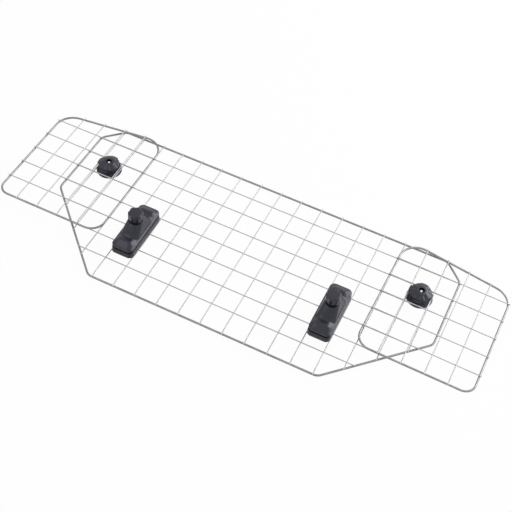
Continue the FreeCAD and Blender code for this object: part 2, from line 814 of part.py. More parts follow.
bounds = Part.makeCompound([piece.Shape for piece in pieces]).optimalBoundingBox(False)
to_origin = FreeCAD.Vector(-bounds.Center.x, -bounds.Center.y, -bounds.ZMin)
os.makedirs("parts", exist_ok=True)
for piece in pieces:
    shape = piece.Shape.copy()
    shape.translate(to_origin)
    shape.exportStep(os.path.join("parts", piece.Label + ".step"))
print(len(pieces), "pieces", bounds.XLength, bounds.YLength, bounds.ZLength)
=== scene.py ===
# %% [markdown]
# # A car dog guard in wire and moulded plastic
# The guard is a welded wire panel with two wire wings. Round clamps with fluted knobs hold the
# wings, and two long clamps with tall knobs grip the posts of the car's headrests.
# The CAD model gives every piece its place. Here the wires keep their CAD shape and get a
# finish, and the moulded and turned pieces are made again with their fine forms. Blender counts
# in metres, and the sizes of the pieces below are in millimetres.

# %% Load the CAD model
import json

import bmesh
import bpy
import numpy as np
from mathutils import Matrix, Vector


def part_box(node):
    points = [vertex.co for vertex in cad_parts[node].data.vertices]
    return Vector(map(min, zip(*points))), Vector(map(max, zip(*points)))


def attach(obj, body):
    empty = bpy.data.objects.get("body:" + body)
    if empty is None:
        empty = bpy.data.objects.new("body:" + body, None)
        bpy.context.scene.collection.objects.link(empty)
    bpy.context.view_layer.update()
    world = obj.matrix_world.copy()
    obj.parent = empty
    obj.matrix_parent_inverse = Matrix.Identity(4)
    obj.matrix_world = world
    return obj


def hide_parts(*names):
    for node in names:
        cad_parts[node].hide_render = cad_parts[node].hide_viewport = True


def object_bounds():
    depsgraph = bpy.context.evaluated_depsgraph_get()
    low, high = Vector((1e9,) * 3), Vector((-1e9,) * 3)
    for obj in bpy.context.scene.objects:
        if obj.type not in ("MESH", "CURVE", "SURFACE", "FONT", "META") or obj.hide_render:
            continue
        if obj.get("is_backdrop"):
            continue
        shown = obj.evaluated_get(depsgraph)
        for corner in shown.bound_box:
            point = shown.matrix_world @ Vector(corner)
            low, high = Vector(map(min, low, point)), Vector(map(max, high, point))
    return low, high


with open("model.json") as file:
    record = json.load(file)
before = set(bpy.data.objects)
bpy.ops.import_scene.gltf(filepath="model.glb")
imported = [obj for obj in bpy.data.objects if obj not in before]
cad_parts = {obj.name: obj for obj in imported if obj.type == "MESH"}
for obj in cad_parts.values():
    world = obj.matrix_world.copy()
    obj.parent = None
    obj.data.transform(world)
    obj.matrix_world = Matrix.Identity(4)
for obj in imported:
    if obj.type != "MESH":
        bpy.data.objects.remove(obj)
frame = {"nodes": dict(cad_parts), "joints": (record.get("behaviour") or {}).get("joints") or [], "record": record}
cad_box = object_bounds()
MM = 0.001
SIDES = ("left", "right")


def foot_of(node):
    """The middle of a CAD node in plan, at the height of its lowest point, in metres."""
    low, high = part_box(node)
    return np.array(((low.x + high.x) / 2, (low.y + high.y) / 2, low.z))


def size_of(node):
    """A CAD node's width, length and height, in millimetres."""
    low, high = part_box(node)
    return np.array(high - low) / MM


print(len(frame["nodes"]), "pieces in the CAD model")
print("main frame, in mm:", size_of("main_frame").round(1))


# %% [markdown]
# ## The camera
# The photograph looks down on the guard from its lower right, a little tilted. A camera could be
# moved by hand until the picture looks right, but the mesh of square cells gives it away: where
# the cells' corners fall in the picture fixes the direction, the distance and the lens. The
# camera is put on a sphere round a target and rolled about its own line of sight.

# %% Place the camera
AZIMUTH, ELEVATION, ROLL = np.radians((19.522, 51.088, 7.376))
DISTANCE = 2.10496
SENSOR_WIDTH, LENS = 36, 69.304
PICTURE_WIDTH = 512
MESH_HEIGHT = 0.01035
TARGET = Vector((0.02685, 0.0097, MESH_HEIGHT))

towards_camera = Vector(
    (
        np.sin(AZIMUTH) * np.cos(ELEVATION),
        -np.cos(AZIMUTH) * np.cos(ELEVATION),
        np.sin(ELEVATION),
    )
)
camera = bpy.data.objects.new("camera", bpy.data.cameras.new("camera"))
camera.data.lens = LENS
camera.data.sensor_width = SENSOR_WIDTH
# Half a pixel each way: the picture's middle lies between two pixels
camera.data.shift_x = -0.5 / PICTURE_WIDTH
camera.data.shift_y = 0.5 / PICTURE_WIDTH
level = towards_camera.to_track_quat("Z", "Y").to_matrix().to_4x4()
camera.matrix_world = (
    Matrix.Translation(TARGET + towards_camera * DISTANCE) @ level @ Matrix.Rotation(ROLL, 4, "Z")
)
bpy.context.scene.collection.objects.link(camera)
bpy.context.scene.camera = camera
print("camera at", [round(c, 4) for c in camera.location])


# %% [markdown]
# ## Shader maths
# A finish could be wired up by hand in the node editor, but a web of nodes is hard to read. One
# small class wraps a socket, so that `0.3 + 0.1 * noise` adds the Math nodes that it needs, and
# a second class adds every other node by one method, for a material or for the world.

# %% Wrap sockets
class Term:
    """A shader value that adds a Math node for each step of a calculation."""

    def __init__(self, graph, socket):
        self.graph, self.socket = graph, socket

    def _maths(self, operation, first, second):
        return self.graph.node("ShaderNodeMath", {"operation": operation}, {0: first, 1: second})

    def __add__(self, other):
        return self._maths("ADD", self, other)

    def __sub__(self, other):
        return self._maths("SUBTRACT", self, other)

    def __rsub__(self, other):
        return self._maths("SUBTRACT", other, self)

    def __mul__(self, other):
        return self._maths("MULTIPLY", self, other)

    def larger(self, other):
        """The larger of the two values at each point."""
        return self._maths("MAXIMUM", self, other)

    __radd__ = __add__
    __rmul__ = __mul__


class Graph:
    """The nodes of one material or of the world."""

    def __init__(self, tree):
        self.tree = tree

    def node(self, kind, settings=None, inputs=None, output=0):
        """Add a node: its settings first, then the values or links of its sockets."""
        node = self.tree.nodes.new(kind)
        for name, amount in (settings or {}).items():
            setattr(node, name, amount)
        for name, amount in (inputs or {}).items():
            self.plug(node.inputs[name], amount)
        return Term(self, node.outputs[output])

    def plug(self, socket, amount):
        """Link a term to a socket, or set a plain number or colour on it."""
        if isinstance(amount, Term):
            self.tree.links.new(amount.socket, socket)
        else:
            socket.default_value = amount

    def looking(self):
        """1 for camera, mirror and glass rays, and 0 for the rays that light the guard."""
        kinds = ("Is Camera Ray", "Is Glossy Ray", "Is Transmission Ray")
        camera_ray, mirror_ray, glass_ray = (
            self.node("ShaderNodeLightPath", output=kind) for kind in kinds
        )
        return camera_ray.larger(mirror_ray).larger(glass_ray)


# %% [markdown]
# A material here is such a graph with Blender's all-round Principled shader in it. What changes
# over a surface feeds its colour, roughness or relief. A number that is the same everywhere is
# set on the shader itself, because a link would add a node and say nothing more.

# %% Build materials
class Finish(Graph):
    """A node material with one Principled shader, whose constants are set on its own sockets."""

    def __init__(self, name, **sockets):
        self.material = bpy.data.materials.new(name)
        self.material.use_nodes = True
        super().__init__(self.material.node_tree)
        self.shader = self.tree.nodes["Principled BSDF"]
        for socket, amount in sockets.items():
            self.set(socket.replace("_", " "), amount)
        print("finish", name)

    def set(self, socket, amount):
        """Link a term or put a constant on one of the shader's sockets."""
        self.plug(self.shader.inputs[socket], amount)

    def place(self, stretch=(1, 1, 1)):
        """Where on the piece the shader is, in metres, stretched along each axis."""
        where = self.node("ShaderNodeTexCoord", output="Object")
        return self.node("ShaderNodeMapping", inputs={"Vector": where, "Scale": stretch})

    def noise(self, scale, where, detail=3.0, roughness=0.5):
        """Cloudy values from 0 to 1, with scale waves to the metre."""
        sockets = {"Vector": where, "Scale": scale, "Detail": detail, "Roughness": roughness}
        return self.node("ShaderNodeTexNoise", inputs=sockets)

    def between(self, share, first, second):
        """A colour that goes from the first to the second as share goes from 0 to 1.

        A Mix node has a pair of sockets for each kind of value; 6 and 7 are its colours.
        """
        sockets = {0: share, 6: (*first, 1), 7: (*second, 1)}
        return self.node("ShaderNodeMix", {"data_type": "RGBA"}, sockets, output=2)

    def steps(self, value, low, high):
        """A value that goes from 0 at low to 1 at high and stays there."""
        sockets = {"Value": value, "From Min": low, "From Max": high}
        return self.node("ShaderNodeMapRange", {"clamp": True}, sockets)

    def bump(self, height, distance, strength=1.0):
        """Relief, with a height of 1 standing the distance proud, in metres."""
        sockets = {"Height": height, "Distance": distance, "Strength": strength}
        self.set("Normal", self.node("ShaderNodeBump", inputs=sockets))


# %% [markdown]
# ## Wire
# The wires are drawn steel under zinc, and the bent frames have a darker, smoother coat than the
# thin wires. A photograph of plating could be wrapped round them, but a wire has no good seam to
# hide. Noise in the piece's own space needs none: broad clouds where the plating is thinner, and
# fine flecks from the drawing die.

# %% Zinc-plated wire
def zinc_wire(name, dark, light, roughness):
    """Zinc whose tone is four parts clouds to one part flecks, spread from dark to light."""
    finish = Finish(name, Metallic=1.0)
    here = finish.place()
    clouds = finish.noise(45, here, detail=3)
    flecks = finish.noise(600, here, detail=2, roughness=0.6)
    tone = finish.steps(0.8 * clouds + 0.2 * flecks, 0.3, 0.7)
    finish.set("Base Color", finish.between(tone, dark, light))
    finish.set("Roughness", roughness + 0.14 * clouds)
    finish.bump(flecks, 0.01 * MM, strength=0.5)
    return finish.material


mesh_zinc = zinc_wire("mesh_wire_zinc", (0.34, 0.345, 0.355), (0.46, 0.465, 0.475), 0.5)
frame_zinc = zinc_wire("frame_wire_zinc", (0.2, 0.205, 0.215), (0.3, 0.305, 0.315), 0.36)


# %% [markdown]
# ## Bolts, nuts and washers
# These are turned and pressed steel under fresh zinc, brighter than the wire. The marks that a
# lathe leaves run round the axis. They could be modelled, but they are finer than a hair, so
# noise that is squeezed along Z makes thin rings in gloss and relief.

# %% Zinc-plated fasteners
def zinc_fastener():
    """Bright metal in soft clouds, with turning marks as noise squeezed twelve times along Z."""
    finish = Finish("zinc_fastener", Metallic=1.0)
    clouds = finish.noise(160, finish.place())
    marks = finish.noise(500, finish.place((1, 1, 12)), detail=2)
    finish.set("Base Color", finish.between(clouds, (0.6, 0.6, 0.59), (0.8, 0.8, 0.78)))
    finish.set("Roughness", 0.2 + 0.2 * marks)
    finish.bump(marks, 0.03 * MM)
    return finish.material


fastener_zinc = zinc_fastener()


# %% [markdown]
# ## Plastic and rubber
# The knobs, jaws and plates are moulded in near-black plastic, cool in its highlights. A mould
# is spark-eroded, so its fine pits come out as pebbles on the plastic. A single colour would look
# like paint, so clouds of gloss, the pebbles and a few rubbed spots are laid over it. The bases
# are a little blacker than the jaws, and the pads are matt rubber. The knobs' bores are dull and
# painted near black: painted shade, for the shade deep inside them.

# %% Moulded plastic and rubber
COOL_HIGHLIGHT = (0.84, 0.83, 1.0, 1)
FINE_GRAIN, COARSE_GRAIN, RUBBER_GRAIN = 0.02 * MM, 0.03 * MM, 0.06 * MM


def moulded(name, dark, light, roughness, grain, gloss=0.5):
    """Plastic: six parts clouds and four parts rubbed spots spread from dark to light."""
    finish = Finish(name, IOR=1.5, Specular_IOR_Level=gloss, Specular_Tint=COOL_HIGHLIGHT)
    here = finish.place()
    clouds = finish.noise(38, here, detail=2)
    pebbles = finish.noise(1500, here, detail=1)
    rubbed = finish.steps(finish.noise(240, here, detail=5, roughness=0.7), 0.58, 0.78)
    finish.set("Base Color", finish.between(0.6 * clouds + 0.4 * rubbed, dark, light))
    finish.set("Roughness", roughness - 0.1 * clouds + 0.06 * pebbles)
    finish.bump(pebbles, grain, strength=0.5)
    return finish.material


black = moulded(
    "satin_black_plastic", (0.013, 0.013, 0.018), (0.024, 0.024, 0.033), 0.38, FINE_GRAIN
)
base_black = moulded(
    "satin_base_plastic", (0.006, 0.006, 0.009), (0.012, 0.012, 0.017), 0.3, FINE_GRAIN
)
dark_grey = moulded(
    "dark_grey_plastic", (0.055, 0.055, 0.065), (0.085, 0.085, 0.1), 0.5, COARSE_GRAIN
)
rubber = moulded(
    "matt_rubber", (0.004, 0.004, 0.005), (0.01, 0.01, 0.012), 0.8, RUBBER_GRAIN, gloss=0.3
)
# Painted shade: a dull near-black colour for the inside of the knobs' bores, where shade falls.
painted_bore_shade = moulded(
    "painted_bore_shade_plastic", (0.001,) * 3, (0.003,) * 3, 0.9, RUBBER_GRAIN, gloss=0.1
)


# %% [markdown]
# Each CAD piece names the slot of the material it is made of. It could be given its finish piece
# by piece, but one table from slot to finish also serves the pieces that are made again below.

# %% Give each CAD piece its finish
FINISHES = {
    "wire": mesh_zinc,
    "zinc_steel": fastener_zinc,
    "black_plastic": black,
    "grey_plastic": dark_grey,
    "rubber": rubber,
}
slot_of = {part["node"]: part["material_slot"] for part in frame["record"]["subparts"]}
for node, piece in frame["nodes"].items():
    piece.data.materials.clear()
    finish = frame_zinc if node.endswith("_frame") else FINISHES[slot_of[node]]
    piece.data.materials.append(finish)
for slot in FINISHES:
    print(slot, list(slot_of.values()).count(slot), "CAD pieces")


# %% [markdown]
# ## Surfaces from rings
# Every moulded or turned piece here is a stack of closed rings. Cubes and cylinders cut into each
# other could make them too, but such cuts leave sharp edges and ragged faces. A ring is a block
# outline with round corners, and a circle is a block whose corners are as large as itself, so one
# family of rings serves a square neck, a round bore and a long plate, and any two of them join.

# %% Block outlines
def walk_round(arc_steps, run_steps):
    """Go round a block once: the direction of each point and the corner centre it belongs to.

    On an arc the direction turns by a quarter about one corner. On a run between two arcs the
    direction stays and the centre slides from one corner to the next.
    """
    turn = np.linspace(0, np.pi / 2, arc_steps + 1)
    slide = np.linspace(0, 1, run_steps + 1)[1:-1]
    corners = np.array([(1, 1), (-1, 1), (-1, -1), (1, -1)], float)
    angles, centres = [], []
    for n, (here, following) in enumerate(zip(corners, np.roll(corners, -1, axis=0))):
        angles += [turn + n * np.pi / 2, np.full(len(slide), (n + 1) * np.pi / 2)]
        centres += [np.tile(here, (len(turn), 1)), here + slide[:, None] * (following - here)]
    return np.concatenate(angles), np.concatenate(centres)


def block_rings(width, length, corner, height, walk):
    """Rings of points: each corner centre plus the corner radius along its direction."""
    angle, centre = walk
    width, length, corner, height = np.broadcast_arrays(
        *(np.atleast_1d(np.asarray(item, float)) for item in (width, length, corner, height))
    )
    x = (width / 2 - corner)[:, None] * centre[:, 0] + corner[:, None] * np.cos(angle)
    y = (length / 2 - corner)[:, None] * centre[:, 1] + corner[:, None] * np.sin(angle)
    return np.stack([x, y, np.repeat(height[:, None], len(angle), axis=1)], axis=-1)


def round_rings(profile, walk):
    """Circles as blocks whose corners are as large as themselves, from radii and heights."""
    radius, height = np.asarray(profile, float).T
    return block_rings(2 * radius, 2 * radius, radius, height, walk)


print("a walk of 8 steps an arc and 2 a run has", len(walk_round(8, 2)[0]), "points")


# %% [markdown]
# A lathe makes the round pieces, so their surface is one profile carried round the axis. Sharp
# corners would catch no light, so each corner of a profile is cut back and bridged by a curve.

# %% Turned outlines
def full_turn(around):
    """So many even steps of angle round the axis."""
    return np.linspace(0, 2 * np.pi, around, endpoint=False)


def polar_rings(radius, angle, height):
    """Rings about Z: the radius times cosine and sine of the angle, at the height."""
    radius, angle, height = np.broadcast_arrays(radius, angle, height)
    return np.stack([radius * np.cos(angle), radius * np.sin(angle), height], axis=-1)


def turned_rings(profile, around):
    """Circles about Z from a profile of radii and heights, each of so many even steps."""
    radius, height = np.asarray(profile, float).T[..., None]
    return polar_rings(radius, full_turn(around), height)


def from_nearest(angle, count):
    """The angle from the nearest of so many spokes: what is left after whole steps."""
    step = 2 * np.pi / count
    return (angle + step / 2) % step - step / 2


def soft_smaller(first, second, sharpness):
    """Nearly the smaller of two: minus the logarithm of the sum of their falling exponentials."""
    return -np.logaddexp(-sharpness * first, -sharpness * second) / sharpness


def rounded(corners, steps=5):
    """A profile whose corners (a, b, cut) are cut back and bridged by quadratic curves."""
    corners = np.asarray(corners, float)
    points, cut = corners[:, :2], corners[:, 2:]

    def towards(step):
        leg = np.roll(points, step, axis=0) - points
        return leg / np.maximum(np.linalg.norm(leg, axis=1, keepdims=True), 1e-9)

    start, end = points + towards(1) * cut, points + towards(-1) * cut
    t = np.linspace(0, 1, steps)[:, None, None]
    curve = (1 - t) ** 2 * start + 2 * t * (1 - t) * points + t**2 * end
    return curve.transpose(1, 0, 2).reshape(-1, 2)


off = np.degrees(from_nearest(np.radians(50), 6))
print("of 6 spokes, 50 degrees is", round(off), "degrees from the nearest")


# %% [markdown]
# ## Closing a surface
# Rings become a mesh by joining each point to its neighbours on the same ring and on the next.
# The last ring joins the first, so the surface is closed like a sleeve turned through its own
# bore. Blender could bridge the loops one by one; whole arrays of corner numbers do it at once.
# Points that meet at an axis are then merged, and the faces are turned outwards. Blender judges
# that by the outermost corner, which fails on the short threaded bolts, so a volume below zero
# turns all the faces over.

# %% Skins
MERGE_WITHIN, DROP_UNDER = 0.005 * MM, 0.001 * MM


def ring_faces(count, around, closed=True):
    """Faces with corners (i, j), (i, j+1), (i+1, j+1) and (i+1, j), ring i and place j."""
    last = count if closed else count - 1
    i, j = np.meshgrid(np.arange(last), np.arange(around), indexing="ij")
    following, beside = (i + 1) % count * around, (j + 1) % around
    corners = [i * around + j, i * around + beside, following + beside, following + j]
    return np.stack(corners, axis=-1).reshape(-1, 4)


def close_up(name, points, faces, material, body, sharp):
    """A mesh of shared points with its faces outwards, which rides on a body."""
    mesh = bpy.data.meshes.new(name)
    mesh.from_pydata(points.tolist(), [], faces.tolist())
    shape = bmesh.new()
    shape.from_mesh(mesh)
    bmesh.ops.remove_doubles(shape, verts=shape.verts, dist=MERGE_WITHIN)
    bmesh.ops.dissolve_degenerate(shape, edges=shape.edges, dist=DROP_UNDER)
    bmesh.ops.recalc_face_normals(shape, faces=shape.faces)
    if shape.calc_volume(signed=True) < 0:
        bmesh.ops.reverse_faces(shape, faces=shape.faces)
    shape.to_mesh(mesh)
    shape.free()
    mesh.shade_smooth()
    mesh.set_sharp_from_angle(angle=np.radians(sharp))
    mesh.materials.append(material)
    piece = bpy.data.objects.new(name, mesh)
    bpy.context.scene.collection.objects.link(piece)
    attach(piece, body)
    print(name, len(mesh.polygons), "faces")
    return piece


def skin(node, ending, rings, slot, body, sharp=38, finish=None):
    """A closed surface over rings, in millimetres from a CAD node's foot, for that node."""
    points = rings.reshape(-1, 3) * MM + foot_of(node)
    faces = ring_faces(*rings.shape[:2])
    material = finish or FINISHES[slot]
    piece = close_up(f"{node}_{ending}", points, faces, material, body, sharp)
    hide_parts(node)
    return piece


# %% [markdown]
# ## Carriage bolts
# A carriage bolt has a domed head, a square neck that keeps it from turning in the plastic, and
# a thread. A thread could be a triangle swept along a helix, which leaves two loose ends. Here it
# is a height over the shank: at each point the radius rises and falls once for each millimetre
# of climb, and the wave is shifted by the angle round the axis, which turns plain ridges into
# one screw line and keeps the bolt one closed surface.

# %% Bolts
SHANK, THREAD_PITCH, THREAD_DEPTH, THREAD_STEPS = 3.0, 1.0, 0.45, 8
HEAD, HEAD_HEIGHT = 7.0, 2.6
NECK, NECK_CORNER, NECK_TOP = 6.0, 0.7, 5.6
BOLT_TIP, AXIS = 0.7, 0.01


def carriage_bolt(node, body):
    """Rings for head and neck, then for the shank, less the thread's depth times 1 - wave."""
    length = size_of(node)[2]
    walk = walk_round(arc_steps=8, run_steps=2)
    angle = walk[0]
    dome = rounded(
        [
            (AXIS, 0, 0),
            (HEAD * 0.55, 0.25, 1.4),
            (HEAD, HEAD_HEIGHT * 0.72, 0.8),
            (HEAD, HEAD_HEIGHT, 0.2),
            (NECK * 0.6, HEAD_HEIGHT, 0),
        ]
    )
    neck = block_rings(NECK, NECK, NECK_CORNER, [HEAD_HEIGHT, NECK_TOP - 0.4], walk)
    climb = np.arange(NECK_TOP, length - BOLT_TIP, THREAD_PITCH / THREAD_STEPS)[:, None]
    wave = np.abs((climb / THREAD_PITCH - angle / (2 * np.pi)) % 1 * 2 - 1)
    thread = polar_rings(SHANK - THREAD_DEPTH * (1 - wave), angle, climb)
    tip = [
        (SHANK - THREAD_DEPTH, length - BOLT_TIP),
        (SHANK - BOLT_TIP, length),
        (AXIS, length),
    ]
    rings = np.concatenate([round_rings(dome, walk), neck, thread, round_rings(tip, walk)])
    skin(node, "threaded", rings, "zinc_steel", body)


for side in SIDES:
    carriage_bolt(f"{side}_wing_clamp_bolt", f"{side}_wing_clamp")
    carriage_bolt(f"{side}_headrest_bolt", f"{side}_headrest_base")


# %% [markdown]
# ## Nuts and washers
# A hexagon nut is a hexagon cut by a cone at each end, which leaves the arched edge at its
# corners. It could be cut out of a prism, and its radius says the same in one line: at each angle
# and height it is the smaller of the hexagon's radius and the cone's. The washer is a stamped
# ring with softly rounded rims, so it is turned from a profile.

# %% Nuts and washers
NUT_FLATS, NUT_BORE, NUT_CONE = 10.0, 3.05, 1.8
BOLT_HOLE = 3.4


def hexagon_nut(node, body):
    """The radius is the smaller of half the flats over the cosine, and a cone from each end."""
    height = size_of(node)[2]
    angle = full_turn(72)
    climb = np.linspace(0, height, 13)
    hexagon = NUT_FLATS / 2 / np.cos(from_nearest(angle, 6))
    cone = NUT_FLATS / 2 + NUT_CONE * np.minimum(climb, height - climb)
    outer = np.minimum(hexagon, cone[:, None])
    inner = np.full((2, len(angle)), NUT_BORE)
    level = np.concatenate([climb, (height, 0)])[:, None]
    rings = polar_rings(np.concatenate([outer, inner]), angle, level)
    skin(node, "chamfered", rings, "zinc_steel", body, sharp=20)


def washer(node, body):
    """A ring from its hole to its rim, with each corner of its section rounded."""
    width, _, thick = size_of(node)
    section = [
        (BOLT_HOLE, 0, 0.1),
        (width / 2, 0, 0.25),
        (width / 2, thick, 0.3),
        (BOLT_HOLE, thick, 0.2),
    ]
    skin(node, "stamped", turned_rings(rounded(section), 72), "zinc_steel", body)


for side in SIDES:
    hexagon_nut(f"{side}_wing_knob_nut", f"{side}_wing_knob")
    hexagon_nut(f"{side}_headrest_knob_nut", f"{side}_headrest_knob")
    washer(f"{side}_wing_clamp_washer", f"{side}_wing_clamp_washer")
    washer(f"{side}_headrest_washer", f"{side}_headrest_jaw")


# %% [markdown]
# ## Fluted knobs
# A low knob tightens each wing clamp: a dome over a short skirt, with eight flutes for the
# fingers. The flutes could be cut by eight cylinders, with a hard edge round each. Instead the
# knob is turned first, and the flutes are pressed into its dome: the height drops inside eight
# radial bands, with soft edges, as a thumb would feel them.

# %% Fluted knobs
KNOB_RADIUS, KNOB_SKIRT, HUB_RADIUS, HUB_BORE, HUB_FLOOR = 23.5, 2.2, 9.0, 6.4, 4.85
FLUTES, FLUTE_WIDTH, FLUTE_DEPTH, FLUTE_START, FLUTE_FADE = 8, 7.0, 1.1, 11.5, 4.0
SCREW_HOLE, WASHER_POCKET, POCKET_DEPTH = 3.15, 9.3, 1.1


def flute_share(x, y):
    """1 along the middle of a flute and 0 between flutes, fading in outside the hub.

    The share is e to minus the fourth power of the way aside over half the flute's width, times
    a smooth step that rises with the radius.
    """
    radius, angle = np.hypot(x, y), np.arctan2(y, x)
    aside = radius * np.sin(from_nearest(angle, FLUTES))
    rise = np.clip((radius - FLUTE_START) / FLUTE_FADE, 0, 1)
    return np.exp(-((aside / (FLUTE_WIDTH / 2)) ** 4)) * rise * rise * (3 - 2 * rise)


def fluted_knob(node, body):
    """A turned dome over a short skirt, with the flutes' depth taken off its height."""
    height = size_of(node)[2]
    section = [
        (WASHER_POCKET, 0, 0.3),
        (KNOB_RADIUS, 0, 0.5),
        (KNOB_RADIUS, KNOB_SKIRT, 1.2),
        (KNOB_RADIUS - 5.5, KNOB_SKIRT + 3.3, 3.5),
        (HUB_RADIUS + 3.5, height - 0.5, 3),
        (HUB_RADIUS, height, 1.2),
        (HUB_BORE, height, 0.6),
        (HUB_BORE, HUB_FLOOR, 0.2),
        (SCREW_HOLE, HUB_FLOOR, 0.1),
        (SCREW_HOLE, POCKET_DEPTH, 0.1),
        (WASHER_POCKET, POCKET_DEPTH, 0.1),
    ]
    rings = turned_rings(rounded(section, steps=7), 192)
    above_skirt = np.clip((rings[..., 2] - KNOB_SKIRT * 0.4) / KNOB_SKIRT, 0, 1)
    rings[..., 2] -= FLUTE_DEPTH * above_skirt * flute_share(rings[..., 0], rings[..., 1])
    return skin(node, "moulding", rings, "black_plastic", body)


def paint_bore_shade(piece, node):
    """Faces nearer the axis than the bore's wall, from its floor to its mouth, get painted shade."""
    mesh = piece.data
    middle = np.empty(3 * len(mesh.polygons))
    mesh.polygons.foreach_get("center", middle)
    x, y, z = ((middle.reshape(-1, 3) - foot_of(node)) / MM).T
    deep = (z > HUB_FLOOR - 0.1) & (z < size_of(node)[2] - 0.4)
    inside = (np.hypot(x, y) < HUB_BORE + 0.02) & deep
    # The bore's faces get the near-black painted shade, which stands in for the shade deep in the bore.
    mesh.materials.append(painted_bore_shade)
    mesh.polygons.foreach_set("material_index", inside.astype(np.int32))
    print(piece.name, int(inside.sum()), "faces in the bore")


for side in SIDES:
    knob = f"{side}_wing_knob"
    paint_bore_shade(fluted_knob(knob, knob), knob)


# %% [markdown]
# ## Clamp discs and tabbed plates
# Under the mesh sits a dished disc, and on the wing a thin plate whose four tabs lie on the
# wires. The plate could be a disc with four notches cut out. As a ring, its reach is the smaller
# of two, to the round rim and to the straight sides of a cross. It is taken softly, so that the
# inner corners come out round.

# %% Clamp discs and tabbed plates
DISC_FOOT, DISC_RIM = 17.0, 2.0
HEAD_RECESS_RADIUS, HEAD_RECESS = 8.0, 3.2
SQUARE_HOLE = NECK / 2 + 0.15
PLATE_RADIUS, TABS, TAB_HALF_WIDTH = 26.5, 4, 9.0


def clamp_disc(node, body):
    """A dished disc with a square hole for the bolt's neck and a recess for its head."""
    width, _, height = size_of(node)
    section = rounded(
        [
            (HEAD_RECESS_RADIUS, 0, 0.4),
            (DISC_FOOT, 0, 0.8),
            (width / 2, height - DISC_RIM, 0.5),
            (width / 2, height, 0.5),
            (SQUARE_HOLE * 1.2, height, 0),
        ]
    )
    walk = walk_round(arc_steps=24, run_steps=2)
    hole = block_rings(2 * SQUARE_HOLE, 2 * SQUARE_HOLE, 0.3, [height, HEAD_RECESS], walk)
    recess = round_rings([(HEAD_RECESS_RADIUS, HEAD_RECESS), (HEAD_RECESS_RADIUS, 0.4)], walk)
    rings = np.concatenate([round_rings(section, walk), hole, recess])
    skin(node, "moulding", rings, "grey_plastic", body)


def clamp_plate(node, body, turn):
    """The reach is the soft smaller of the rim's radius and half a tab over the sine."""
    height = size_of(node)[2]
    angle = full_turn(192)
    cross = TAB_HALF_WIDTH / np.maximum(np.sin(np.abs(from_nearest(angle, TABS))), 1e-3)
    rim = soft_smaller(PLATE_RADIUS, cross, 2)
    level = [0, 0.15, 0.5, 1.5, height - 0.7, height - 0.2, height]
    inset = np.array([0.5, 0.1, 0, 0, 0, 0.15, 0.7])
    hole = np.full((2, len(angle)), BOLT_HOLE)
    reach = np.concatenate([rim - inset[:, None], hole])
    rings = polar_rings(reach, angle + turn, np.array([*level, height, 0])[:, None])
    skin(node, "moulding", rings, "black_plastic", body)


slides = {joint["name"]: joint["axis"] for joint in frame["joints"] if joint["type"] == "slide"}
for side in SIDES:
    along = slides[f"{side}_wing_slide"]
    clamp_disc(f"{side}_wing_clamp_disc", f"{side}_wing_clamp")
    plate = f"{side}_wing_clamp_plate"
    clamp_plate(plate, plate, turn=np.arctan2(along[1], along[0]))


# %% [markdown]
# ## Headrest clamps
# The lower jaw of a clamp is a hollow block with drafted walls, and under the mesh a thin back
# plate of the same make closes the clamp. Ribs across the ends of the lower jaw give the fingers
# a hold. They could be bars laid on the wall; here they are pressed into the end walls by a wave
# along X, so each groove ends softly as it would from a mould.

# %% Base plates
BASE_CORNER, BASE_DRAFT, BACK_CORNER, BACK_DRAFT = 12.0, 1.0, 9.0, 0.3
WALL, FLOOR, BOSS = 3.0, 3.0, 11.0
SEAT_RADIUS, SEAT_DEPTH = 8.0, 4.2
RIB_PITCH, RIB_DEPTH, RIB_REACH = 3.6, 0.8, 16.2


def rib_relief(rings, length):
    """Grooves across the ends: the wall moves in by a wave along X, on the end faces only.

    The wave is a triangle, steepened and cut off, so each groove has a flat floor.
    """
    x, y = rings[..., 0], rings[..., 1]
    on_end = np.clip((np.abs(y) - (length / 2 - 2.6)) / 1.2, 0, 1)
    fade = np.clip(RIB_REACH - np.abs(x), 0, 1)
    groove = np.clip(1.6 * np.abs((x / RIB_PITCH) % 1 * 2 - 1) - 0.6, 0, 1)
    rings[..., 1] -= np.sign(y) * RIB_DEPTH * groove * on_end * fade
    return rings


def moulded_block(node, body, corner, draft, ribs=False):
    """A block with drafted walls, a hollow underside and a boss round the bolt."""
    width, length, height = size_of(node)
    walk = walk_round(arc_steps=10, run_steps=44 if ribs else 6)
    wall = rounded([(0, 0, 0.4), (draft, height, 1.6), (width / 2 - corner, height, 0)], steps=6)
    inset = np.minimum(wall[:, 0], width / 2 - corner)
    corners = np.maximum(corner - inset, 1.0)
    outer = block_rings(width - 2 * inset, length - 2 * inset, corners, wall[:, 1], walk)
    if ribs:
        outer = rib_relief(outer, length)
    ceiling = height - FLOOR
    bore = round_rings([(BOLT_HOLE, height), (BOLT_HOLE, SEAT_DEPTH)], walk)
    seat = round_rings([(SEAT_RADIUS, SEAT_DEPTH), (SEAT_RADIUS, 0)], walk)
    boss = round_rings([(BOSS, 0), (BOSS, ceiling)], walk)
    inside = block_rings(width - 2 * WALL, length - 2 * WALL, corner - WALL, [ceiling, 0], walk)
    rings = np.concatenate([outer, bore, seat, boss, inside])
    skin(node, "moulding", rings, "grey_plastic", body, finish=base_black)


for side in SIDES:
    body = f"{side}_headrest_base"
    moulded_block(f"{side}_headrest_base_plate", body, BASE_CORNER, BASE_DRAFT, ribs=True)
    moulded_block(f"{side}_headrest_back_plate", body, BACK_CORNER, BACK_DRAFT)


# %% [markdown]
# ## Upper jaws
# The upper jaw is a saddle with a bell in its middle, which carries the tall knob. It could be
# sculpted, but as a relief over its outline each slope keeps its measure. Its middle line starts
# low at each end, climbs to a crest, dips and meets the bell, and on both sides of that line the
# flanks fall to a thin lip. The bell is worked out layer by layer: a point is as high as the
# share of thin layers that it lies inside.

# %% Upper jaws
LIP, LIP_ROUND, LIP_EDGE, JAW_CORNER = 4.0, 0.4, 0.5, 10.5
